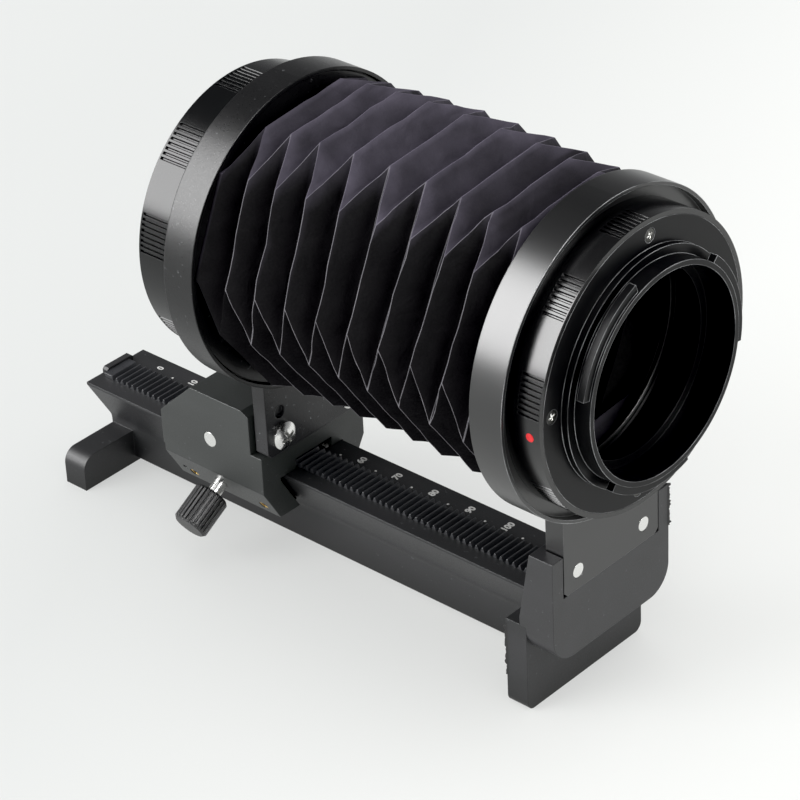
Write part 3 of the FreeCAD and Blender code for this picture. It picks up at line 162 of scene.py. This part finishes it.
def moulded_abs(name, code, light, roughness, edge=0.28, ior=1.6, low=1.0, span=(0.001, 0.009)):
    """ABS from a spark-eroded mould: a satin skin with fine grit, its tone times low below span."""
    material, tree, shader, where = begin(name, code, roughness, IOR=ior)
    ramp = mottle(tree, where, 9, code, light, stretch=(0.35, 1, 1))
    # dust and short scuffs, up to 0.8 mm long, that handling leaves
    dust = add(tree, "ShaderNodeTexNoise", {"Scale": 1000 / 1.1, "Detail": 3.0, "Roughness": 0.7},
               {"Vector": where})
    worn = add(tree, "ShaderNodeMapRange", {"From Min": 0.66, "From Max": 0.72, "To Max": 0.5},
               {"Value": dust.outputs["Fac"]})
    skin = add(tree, "ShaderNodeMix", None, {"Factor": worn.outputs[0]}, data_type="RGBA")
    tree.links.new(ramp.outputs[0], skin.inputs[6])
    skin.inputs[7].default_value = hexed("606264")
    # tone times low below span, in z: on the lens standard this is painted light, a plate lighter than
    # its ring; on the rail it is darker towards the floor
    height = add(tree, "ShaderNodeSeparateXYZ", None, {"Vector": where})
    tone_by_height = add(tree, "ShaderNodeMapRange", {"From Min": span[0], "From Max": span[1], "To Min": low},
                {"Value": height.outputs["Z"]})
    height_toned = add(tree, "ShaderNodeMix", {"Factor": 1.0}, None, data_type="RGBA", blend_type="MULTIPLY")
    tree.links.new(skin.outputs[2], height_toned.inputs[6])
    tree.links.new(tone_by_height.outputs[0], height_toned.inputs[7])
    tree.links.new(height_toned.outputs[2], shader.inputs["Base Color"])
    # grit of 0.12 mm, drawn at 0.3 mm so that it shows
    grit = add(tree, "ShaderNodeTexNoise", {"Scale": 1000 / 0.3, "Detail": 4.0, "Roughness": 0.6},
               {"Vector": where})
    vary(tree, shader, grit.outputs["Fac"], roughness - 0.05, roughness + 0.08)
    relief(tree, shader, grit.outputs["Fac"], 0.02, edge)
    return material


def anodised(name, code, light, roughness, ior=1.85, edge=0.3, rubbed_and_lit="0d0d0e", open_mm=10):
    """Turned aluminium, black anodised: fine rings round the axis, and a light colour on the edges,
    partly dye wear and partly a painted highlight along the rims.
    """
    material, tree, shader, where = begin(name, code, roughness, IOR=ior)
    ramp = mottle(tree, where, 14, code, light)
    # Painted highlight, partly dye wear: sharp edges at the open end take the light edge colour.
    worn = edge_wear_and_highlight(tree, where, edge, open_mm)
    skin = add(tree, "ShaderNodeMix", None, {"Factor": worn}, data_type="RGBA")
    tree.links.new(ramp.outputs[0], skin.inputs[6])
    skin.inputs[7].default_value = hexed(rubbed_and_lit)
    tree.links.new(skin.outputs[2], shader.inputs["Base Color"])
    moved = add(tree, "ShaderNodeMapping", {"Location": (0, 0, -AXIS * MM)}, {"Vector": where})
    # tool marks 0.1 mm apart, drawn at 0.25 mm so that they show
    marks = add(tree, "ShaderNodeTexNoise", {"Scale": 1000 / 0.25, "Detail": 1.0},
                {"Vector": moved.outputs[0]})
    vary(tree, shader, marks.outputs["Fac"], roughness - 0.01, roughness + 0.02)
    relief(tree, shader, marks.outputs["Fac"], 0.0005, edge)
    return material


def polished(name, code, roughness):
    """Bright turned metal with faint handling marks."""
    material, tree, shader, where = begin(name, code, roughness, Metallic=1.0)
    marks = add(tree, "ShaderNodeTexNoise", {"Scale": 1000 / 1.2, "Detail": 2.0}, {"Vector": where})
    vary(tree, shader, marks.outputs["Fac"], roughness * 0.8, roughness * 1.3)
    relief(tree, shader, marks.outputs["Fac"], 0.004, 0.12)
    return material


def blued(name, code, roughness, glint_colour, recess_x_mm):
    """Blued steel screws whose cross recess, below recess_x_mm, takes a light colour: a painted highlight
    for the glints in the recess.
    """
    material, tree, shader, where = begin(name, code, roughness, Metallic=1.0)
    along = add(tree, "ShaderNodeSeparateXYZ", None, {"Vector": where})
    depth = add(tree, "ShaderNodeMapRange",
                {"From Min": (recess_x_mm - 0.02) * MM, "From Max": recess_x_mm * MM},
                {"Value": along.outputs["X"]})
    # Painted highlight: the recess below recess_x_mm takes the glint colour.
    skin = add(tree, "ShaderNodeMix", None, {"Factor": depth.outputs[0]}, data_type="RGBA")
    skin.inputs[6].default_value, skin.inputs[7].default_value = hexed(glint_colour), hexed(code)
    tree.links.new(skin.outputs[2], shader.inputs["Base Color"])
    marks = add(tree, "ShaderNodeTexNoise", {"Scale": 1000 / 0.9, "Detail": 2.0}, {"Vector": where})
    vary(tree, shader, marks.outputs["Fac"], roughness * 0.8, roughness * 1.3)
    relief(tree, shader, marks.outputs["Fac"], 0.004, 0.08)
    return material


def enamel(name, code, light, roughness):
    """Thick paint filled into a drilled dot or printed on plastic."""
    material, tree, shader, where = begin(name, code, roughness)
    ramp = mottle(tree, where, 0.8, code, light)
    tree.links.new(ramp.outputs[0], shader.inputs["Base Color"])
    grain = add(tree, "ShaderNodeTexNoise", {"Scale": 1000 / 0.2}, {"Vector": where})
    relief(tree, shader, grain.outputs["Fac"], 0.01, 0.1)
    return material


def pleat_cloth(name, deep, deep_light, top, top_light, lift):
    """Rubberised cotton over card: matt, a fine weave, with painted light: lighter on the faces that look
    up, darker on the steep sides.
    """
    material, tree, shader, where = begin(name, deep, 0.85, IOR=1.2)
    shader.inputs["Sheen Weight"].default_value = 0.04
    shader.inputs["Sheen Roughness"].default_value = 0.5
    shader.inputs["Sheen Tint"].default_value = hexed(lift)
    shade = mottle(tree, where, 6, deep, deep_light)
    lit_top_colour = mottle(tree, where, 7, top, top_light, detail=6.0)
    # Painted light: faces that look up take the lit top colour, steeper faces the darker side colour.
    surface = add(tree, "ShaderNodeNewGeometry")
    facing = add(tree, "ShaderNodeSeparateXYZ", None, {"Vector": surface.outputs["Normal"]})
    upward = add(tree, "ShaderNodeMapRange", {"From Min": 0.3, "From Max": 0.75},
                 {"Value": facing.outputs["Z"]})
    both = add(tree, "ShaderNodeMix", None, {"Factor": upward.outputs[0]}, data_type="RGBA")
    tree.links.new(shade.outputs[0], both.inputs[6])
    tree.links.new(lit_top_colour.outputs[0], both.inputs[7])
    tree.links.new(both.outputs[2], shader.inputs["Base Color"])
    # threads 0.2 mm apart, drawn at 0.45 mm so that they show
    weave = add(tree, "ShaderNodeTexNoise", {"Scale": 1000 / 0.45, "Detail": 2.0}, {"Vector": where})
    vary(tree, shader, weave.outputs["Fac"], 0.78, 0.95)
    crumple = add(tree, "ShaderNodeTexNoise", {"Scale": 1000 / 5, "Detail": 3.0, "Distortion": 0.6},
                  {"Vector": where})
    soft = add(tree, "ShaderNodeBump", {"Strength": 1.0, "Distance": 0.45 * MM},
               {"Height": crumple.outputs["Fac"]})
    bump = add(tree, "ShaderNodeBump", {"Strength": 1.0, "Distance": 0.03 * MM},
               {"Height": weave.outputs["Fac"], "Normal": soft.outputs[0]})
    tree.links.new(bump.outputs[0], shader.inputs["Normal"])
    return material


# The rail's tone is times 0.25 up to 1 mm, easing back to its own tone by 9 mm: darker towards the floor.
RAIL_PLASTIC = moulded_abs("rail moulded ABS", "202122", "29292b", 0.45, 0.2, 1.46, 0.25)
RACK_PLASTIC = moulded_abs("rack moulded ABS", "27282b", "323336", 0.32)
CARRIAGE_PLASTIC = moulded_abs("carriage moulded ABS", "1e2120", "282b2a", 0.45)
BRACKET_PLASTIC = moulded_abs("bracket moulded ABS", "1a1a1c", "222225", 0.45)
BLACK_PLASTIC = moulded_abs("knob moulded ABS", "121213", "1a1a1b", 0.42)
# The last colour of the standard and the flanges is their light edge colour: partly dye wear, partly a
# painted highlight along the rims.
RING_SATIN = anodised("standard satin black", "0d0d0e", "121213", 0.3, 1.72, 0.25, "c8cacc")
# Painted light: the lens standard's tone is times 3.2 below 35 mm, easing back by 48 mm, so that its
# plate reads lighter than its ring.
FAR_SATIN = moulded_abs("lens standard satin black", "0d0d0e", "141415", 0.31, 0.3, 1.46, 3.2,
                        (0.035, 0.048))
FAR_GRIP = anodised("lens grip ring satin black", "0b0b0c", "101112", 0.2, 1.42, 0.05)
GRIP_SATIN = anodised("grip ring satin black", "0b0b0c", "101011", 0.22, 1.58, 0.05)
FLANGE_SATIN = anodised("flange dark anodised", "0c0c0e", "111112", 0.3, 1.26, 0.2, "d0d2d4", 17.2)
STEEL = polished("polished steel screw", "e6e6e4", 0.22)
BAYONET_SCREW = blued("blued steel screw", "585856", 0.3, "f2f2f0", 17.69)
DARK_STEEL = polished("blued steel screw at the lens end", "8a8a88", 0.28)
SPRING = polished("spring steel", "9a9a98", 0.35)
BRASS = polished("turned brass", "d2b26a", 0.3)
DARK_BRASS = polished("blackened brass strip", "1d1a12", 0.55)
RED = enamel("red index paint", "c0141a", "d8252a", 0.2)
WHITE = enamel("white scale ink", "a6a6a2", "bababa", 0.6)
NYLON = moulded_abs("nylon washer", "cfcec8", "dddcd6", 0.5)
# The cloth and its folds both carry painted light: lighter tops, darker sides.
CLOTH = pleat_cloth("bellows cloth", "0d0c0e", "141315", "3a3740", "4e4a55", "6d6880")
# The folds' light colour: partly cloth worn on the crests, partly a painted highlight.
FOLD = pleat_cloth("bellows fold rubbed", "5e5d61", "767478", "4a4652", "5c5864", "8a869c")

FINISH = {
    RAIL_PLASTIC: ["rail_beam"],
    RACK_PLASTIC: ["rack_strip"],
    CARRIAGE_PLASTIC: ["carriage"],
    BRACKET_PLASTIC: ["rear_bracket"],
    BLACK_PLASTIC: ["focus_knob", "lock_knob", "release_slider"],
    RING_SATIN: ["camera_standard", "camera_bellows_frame"],
    FAR_SATIN: ["lens_standard", "lens_bellows_frame", "lens_baffle"],
    GRIP_SATIN: ["camera_mount_ring"],
    FAR_GRIP: ["lens_mount_ring"],
    FLANGE_SATIN: ["camera_bayonet", "lens_bayonet"],
    STEEL: ["focus_shaft", "lock_screw", "pinion", "focus_grub_screw", "camera_clamp_screw",
            "lens_clamp_screw", "bracket_screw_left", "bracket_screw_right",
            "camera_plate_screw_left", "camera_plate_screw_right", "lens_plate_screw_left",
            "lens_plate_screw_right"],
    BAYONET_SCREW: ["camera_bayonet_screw_%d" % k for k in (1, 2, 3, 4)],
    DARK_STEEL: ["lens_bayonet_screw_%d" % k for k in (1, 2, 3, 4)],
    SPRING: ["lens_leaf_spring_%d" % k for k in (1, 2, 3)],
    BRASS: ["gib_screw_far", "gib_screw_near"],
    DARK_BRASS: ["gib_strip"],
    RED: ["camera_index_dot", "lens_index_dot"],
    NYLON: ["focus_washer"],
}
for material, names in FINISH.items():
    for name in names:
        mesh = nodes[name].data
        mesh.materials.clear()
        mesh.materials.append(material)


# ---------------------------------------------------------------- making pieces
def keep(bm, name, materials, body, smooth=None, replaces=()):
    """Close a bmesh, scale it to metres, and make it a piece that rides on a body."""
    bmesh.ops.scale(bm, vec=(MM, MM, MM), verts=bm.verts)
    mesh = bpy.data.meshes.new(name)
    bm.to_mesh(mesh)
    bm.free()
    for material in materials:
        mesh.materials.append(material)
    piece = bpy.data.objects.new(name, mesh)
    bpy.context.scene.collection.objects.link(piece)
    if smooth is not None:
        mesh.shade_smooth()
        mesh.set_sharp_from_angle(angle=math.radians(smooth))
    if body:
        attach(piece, body)
    if replaces:
        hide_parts(*replaces)
    return piece


def bellows():
    """A six-sided pleated tube whose corners turn to and fro, neighbours opposite ways."""
    length = CAMERA_RING_BACK - LENS_RING_FRONT
    half = length / PLEATS / 2
    bm = bmesh.new()
    start = []
    for angle in CORNERS:
        y, z = math.cos(math.radians(angle)), math.sin(math.radians(angle))
        start.append(bm.verts.new((LENS_RING_FRONT - CUFF, SKIN_REACH * y, AXIS + SKIN_REACH * z)))
    ring_edges = [bm.edges.new((start[k], start[(k + 1) % 6])) for k in range(6)]
    ring = start
    for k in range(2 * PLEATS + 2):
        out = bmesh.ops.extrude_edge_only(bm, edges=ring_edges)["geom"]
        fresh = [g for g in out if isinstance(g, bmesh.types.BMVert)]
        ring = [min(fresh, key=lambda v: (v.co - old.co).length) for old in ring]
        ring_edges = [g for g in out
                      if isinstance(g, bmesh.types.BMEdge) and all(v in fresh for v in g.verts)]
        straight = k in (0, 2 * PLEATS + 1)
        bmesh.ops.translate(bm, verts=ring, vec=(CUFF if straight else half, 0, 0))
        if not straight:
            away = 1 if k % 2 else -1
            for n, vert in enumerate(ring):
                turn = math.radians(CORNER_TURN) * away * (-1 if n % 2 == 0 else 1)
                bmesh.ops.rotate(bm, verts=[vert], cent=(0, 0, AXIS),
                                 matrix=Matrix.Rotation(turn, 3, "X"))
    for vert in bm.verts:
        # the row of folds bows up between its ends and fans out at the top
        share = max(0.0, min(1.0, (vert.co.x - LENS_RING_FRONT) / length))
        up, lean = vert.co.z - AXIS, math.radians(-FAN) * math.sin(2 * math.pi * share)
        vert.co.x += up * math.sin(lean)
        vert.co.z = AXIS + BOW * math.sin(math.pi * share) + up * math.cos(lean)
    bmesh.ops.recalc_face_normals(bm, faces=bm.faces)
    centre = Vector((0, 0, AXIS + 1.5))
    sample = bm.faces[0]
    if (sample.calc_center_median() - centre).yz.dot(sample.normal.yz) < 0:
        bmesh.ops.reverse_faces(bm, faces=bm.faces)
    inner = [e for e in bm.edges if len(e.link_faces) == 2]
    # The crests are bevelled and take the fold colour, a light line that is partly cloth worn on the
    # folds and partly a painted highlight on the crests.
    made = bmesh.ops.bevel(bm, geom=inner, offset=0.17, segments=2, profile=0.5, affect="EDGES",
                           material=-1)
    for face in made["faces"]:
        # Painted shade: the fold next to the lens frame keeps the plain cloth colour, as it lies in the
        # shade of the lens ring.
        face.material_index = 1 if face.calc_center_median().x > LENS_RING_FRONT + 6 else 0
    wide = [e for e in bm.edges if e.calc_length() > 2.0]
    bmesh.ops.subdivide_edges(bm, edges=wide, cuts=5, use_grid_fill=True)
    bmesh.ops.triangulate(bm, faces=[f for f in bm.faces if len(f.verts) > 4])
    noise.seed_set(CRUMPLE_SEED)
    for vert in bm.verts:
        ends = min(vert.co.x - LENS_RING_FRONT, CAMERA_RING_BACK - vert.co.x)
        hold = max(0.0, min(1.0, ends / 4))
        slack = noise.noise_vector(vert.co * 0.16) * 0.35 + noise.noise_vector(vert.co * 0.5) * 0.1
        vert.co += slack * hold
    piece = keep(bm, "bellows_cloth", [CLOTH, FOLD], None, smooth=30,
                 replaces=("bellows",))
    wall = piece.modifiers.new("wall", "SOLIDIFY")
    wall.thickness, wall.offset = SKIN_WALL * MM, -1
    wall.material_offset = -1  # the lining is plain black along the folds too
    return piece


def release_coil():
    """The coil behind the lens release, a piece of its own."""
    bm = bmesh.new()
    bm.from_mesh(nodes["release_spring"].data)
    bmesh.ops.remove_doubles(bm, verts=bm.verts, dist=0.000001)
    bmesh.ops.scale(bm, vec=(1 / MM, 1 / MM, 1 / MM), verts=bm.verts)
    return keep(bm, "release_coil", [SPRING], None, smooth=40,
                replaces=("release_spring",))


def stretch(piece, still, moving, start_x, end_x):
    """Bake a piece's placement into its mesh."""
    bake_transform(piece)


stretch(bellows(), "base", "carriage", (CAMERA_RING_BACK + CUFF) * MM, (LENS_RING_FRONT - CUFF) * MM)
coil_seat = COIL_SEAT * MM
coil_ends = [corner[0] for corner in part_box("release_spring")]
coil_free = max(coil_ends, key=lambda x: abs(x - coil_seat))
stretch(release_coil(), "lens_mount", "release", coil_seat, coil_free)


def printed(name, text, size, x, y, z, turn):
    """A numeral printed on a flat top, made a mesh before it is placed."""
    curve = bpy.data.curves.new(name, "FONT")
    curve.body, curve.size, curve.align_x, curve.align_y = text, size * MM, "CENTER", "CENTER"
    curve.extrude, curve.resolution_u, curve.offset = 0.02 * MM, 4, 0.09 * MM
    holder = bpy.data.objects.new(name, curve)
    mesh = bpy.data.meshes.new_from_object(holder)
    mesh.name = name
    place = Matrix.Translation((x * MM, y * MM, z * MM))
    mesh.transform(place @ Matrix.Rotation(math.radians(turn), 4, "Z"))
    mesh.materials.clear()
    mesh.materials.append(WHITE)
    bpy.data.objects.remove(holder)
    piece = bpy.data.objects.new(name, mesh)
    bpy.context.scene.collection.objects.link(piece)
    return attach(piece, "base")


for k in range(11):
    printed("scale_numeral_%d" % k, str(10 * k), 2.2, SCALE_ZERO + SCALE_STEP * k, 5.4, RAIL_TOP + 0.01,
            90)

dots = bmesh.new()
for k in range(11):
    made = bmesh.ops.create_cone(dots, cap_ends=True, segments=12, radius1=0.28, radius2=0.28,
                                 depth=0.04)
    bmesh.ops.translate(dots, verts=made["verts"],
                        vec=(SCALE_ZERO + SCALE_STEP * (k + 0.5), 4.1, RAIL_TOP + 0.02))
keep(dots, "scale_dots", [WHITE], "base")


def flash(name, low, high, out, reach):
    """The torn fin of plastic that a worn mould leaves along an edge, 0.2 mm thick."""
    low, high, out = Vector(low), Vector(high), Vector(out).normalized()
    bm = bmesh.new()
    bmesh.ops.create_grid(bm, x_segments=1, y_segments=26, size=0.5)
    for vert in bm.verts:
        share, outer = vert.co.y + 0.5, vert.co.x > 0
        at = low.lerp(high, share)
        torn = noise.noise(at * 1.9) + 0.6 * noise.noise(at * 5.3)
        vert.co = at + out * (reach * max(0.15, min(1.3, 0.75 + 0.8 * torn)) if outer else -0.3)
    bmesh.ops.recalc_face_normals(bm, faces=bm.faces)
    bmesh.ops.solidify(bm, geom=bm.faces, thickness=0.2)
    return keep(bm, name, [BLACK_PLASTIC], "base")


flash("near_foot_flash", (-2.5, -17.8, 7), (-2.5, -17.8, 19.1), (-0.75, -0.66, 0), 0.5)
flash("bracket_flash", (9.5, 17.85, 28.5), (9.5, 17.85, 38.4), (0.75, 0.66, 0), 0.55)

# ---------------------------------------------------------------- floor, light and camera
floor = bmesh.new()
bmesh.ops.create_grid(floor, x_segments=2, y_segments=2, size=3000)
bmesh.ops.scale(floor, vec=(MM, MM, MM), verts=floor.verts)
mesh = bpy.data.meshes.new("studio_floor")
floor.to_mesh(mesh)
floor.free()
paper, tree, shader, where = begin("studio floor", "8b8c8b", 0.6, Emission_Strength=0.5,
                                   Specular_IOR_Level=0.0)
shader.inputs["Emission Color"].default_value = hexed("fafbfa")
# painted light falloff: the floor is a little greyer towards -X and +Y
ramp = mottle(tree, where, 400, "7f8180", "838584")
across = add(tree, "ShaderNodeVectorMath", {1: (0.985, 0.411, 0)}, {0: where}, operation="DOT_PRODUCT")
share = add(tree, "ShaderNodeMapRange", {"From Min": -0.12, "From Max": 0.02},
            {"Value": across.outputs["Value"]})
falloff_tone = add(tree, "ShaderNodeMix", None, {"Factor": share.outputs[0]}, data_type="RGBA")
tree.links.new(ramp.outputs[0], falloff_tone.inputs[6])
falloff_tone.inputs[7].default_value = hexed("9c9d9b")
tree.links.new(falloff_tone.outputs[2], shader.inputs["Base Color"])
mesh.materials.append(paper)
ground = bpy.data.objects.new("studio_floor", mesh)
bpy.context.scene.collection.objects.link(ground)


def softbox(name, place, aim, size, power):
    """A rectangular area light that looks at a point."""
    light = bpy.data.lights.new(name, "AREA")
    light.shape, light.size, light.size_y = "RECTANGLE", size[0], size[1]
    light.energy = power
    holder = bpy.data.objects.new(name, light)
    bpy.context.scene.collection.objects.link(holder)
    holder.location = place
    holder.rotation_euler = (Vector(aim) - Vector(place)).to_track_quat("-Z", "Y").to_euler()
    return holder


dome = bpy.data.lights.new("dome", "SUN")
dome.angle, dome.energy = math.pi, 3.4
sky_light = bpy.data.objects.new("dome", dome)
bpy.context.scene.collection.objects.link(sky_light)
sky_light.visible_glossy = False
softbox("top softbox", (0.12, 0.02, 1.25), (-0.03, 0, 0.05), (1.0, 1.0), 5)
window = softbox("window", (-1.0, -1.05, 0.85), (-0.03, 0, 0.06), (1.15, 1.5), 62)
window.visible_diffuse = False
rim = softbox("rim light", (1.1, -0.15, 0.95), (0.0, 0, 0.07), (0.8, 0.5), 40)
rim.visible_diffuse = False
softbox("left fill", (-0.6, -0.9, 0.6), (-0.05, 0, 0.05), (0.7, 0.7), 9.0).visible_glossy = False
world = bpy.data.worlds.new("studio")
world.use_nodes = True
tree = world.node_tree
sky = tree.nodes["Background"]
sky.inputs["Color"].default_value = hexed("f4f5f6")
looking = add(tree, "ShaderNodeTexCoord").outputs["Generated"]
height = add(tree, "ShaderNodeSeparateXYZ", None, {"Vector": looking})
fall = add(tree, "ShaderNodeMapRange", {"From Min": 0.0, "From Max": 0.6, "To Min": 0.42, "To Max": 0.06},
           {"Value": height.outputs["Z"]})
tree.links.new(fall.outputs[0], sky.inputs["Strength"])
bpy.context.scene.world = world
settings = bpy.context.scene.view_settings
settings.view_transform = "Standard"
settings.use_curve_mapping = True
settings.curve_mapping.black_level = (0.004, 0.004, 0.004)
settings.curve_mapping.update()

camera = bpy.data.cameras.new("camera")
camera.sensor_width, camera.lens = 36, 149.465
camera.clip_start, camera.clip_end = 0.05, 10
eye = bpy.data.objects.new("camera", camera)
bpy.context.scene.collection.objects.link(eye)
right = Vector((0.74491255, 0.66582899, -0.04215492))
up = Vector((-0.32675526, 0.41919435, 0.84705791))
back = Vector((0.58166682, -0.61720973, 0.52982626))
turned = Matrix((right, up, back)).transposed().to_4x4()
eye.matrix_world = Matrix.Translation((0.34478, -0.41341, 0.40036)) @ turned
bpy.context.scene.camera = eye
